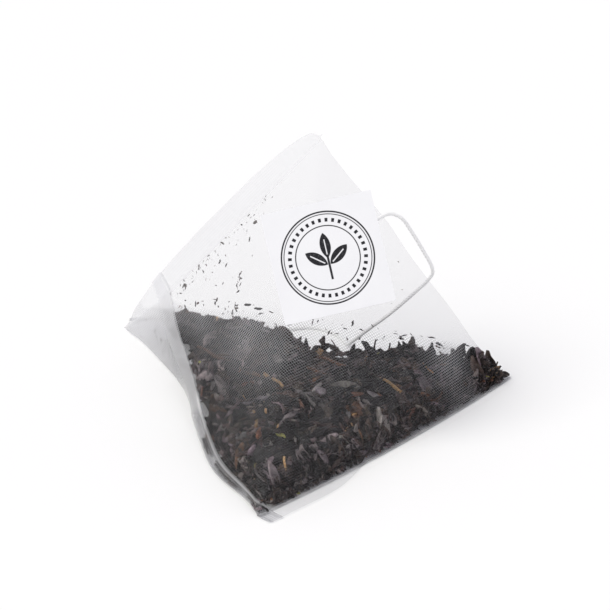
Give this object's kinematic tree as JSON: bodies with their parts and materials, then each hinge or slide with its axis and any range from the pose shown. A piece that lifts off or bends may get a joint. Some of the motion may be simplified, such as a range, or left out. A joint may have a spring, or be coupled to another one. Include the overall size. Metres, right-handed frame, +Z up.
{
  "type": "pyramid tea bag",
  "caption": "Pyramid-shaped bag of fine white mesh, welded along crossed end seals and a long seam, holding loose black tea, with a thread and a square paper tag.",
  "frame": {"origin": "middle of the bag's bounding box on the surface that it rests on", "axes": "+Z up, out of the base face; +X towards the right corner, where the lower seal ends; -Y towards the front corner, and the tag faces -Y"},
  "size_m": [0.0739, 0.0723, 0.0566],
  "materials": {
    "nylon_mesh": "fine open plain weave of white nylon, see-through, slightly glossy",
    "black_tea": "matt, rolled dry leaf",
    "tea_leaf": "matt, rolled dry leaf, dark brown",
    "tea_stem": "matt, tan stalk",
    "cotton_thread": "twisted white cotton",
    "tag_paper": "uncoated white paper, one-colour black print"
  },
  "bodies": {
    "root": {"leaf_01": "tea_leaf", "leaf_02": "tea_leaf", "leaf_03": "tea_leaf", "leaf_04": "tea_leaf", "leaf_05": "tea_leaf", "leaf_06": "tea_leaf", "leaf_07": "tea_leaf", "leaf_08": "tea_leaf", "leaf_09": "tea_leaf", "leaf_10": "tea_leaf", "leaf_11": "tea_leaf", "leaf_12": "tea_leaf", "leaf_13": "tea_leaf", "leaf_14": "tea_leaf", "leaf_15": "tea_leaf", "leaf_16": "tea_leaf", "leaf_17": "tea_leaf", "leaf_18": "tea_leaf", "leaf_19": "tea_leaf", "leaf_20": "tea_leaf", "leaf_21": "tea_leaf", "leaf_22": "tea_leaf", "leaf_23": "tea_leaf", "leaf_24": "tea_leaf", "mesh_bag": "nylon_mesh", "stem_01": "tea_stem", "stem_02": "tea_stem", "stem_03": "tea_stem", "stem_04": "tea_stem", "stem_05": "tea_stem", "stem_06": "tea_stem", "stem_07": "tea_stem", "stem_08": "tea_stem", "tag": "tag_paper", "tea_heap": "black_tea", "thread": "cotton_thread"}
  },
  "joints": []
}
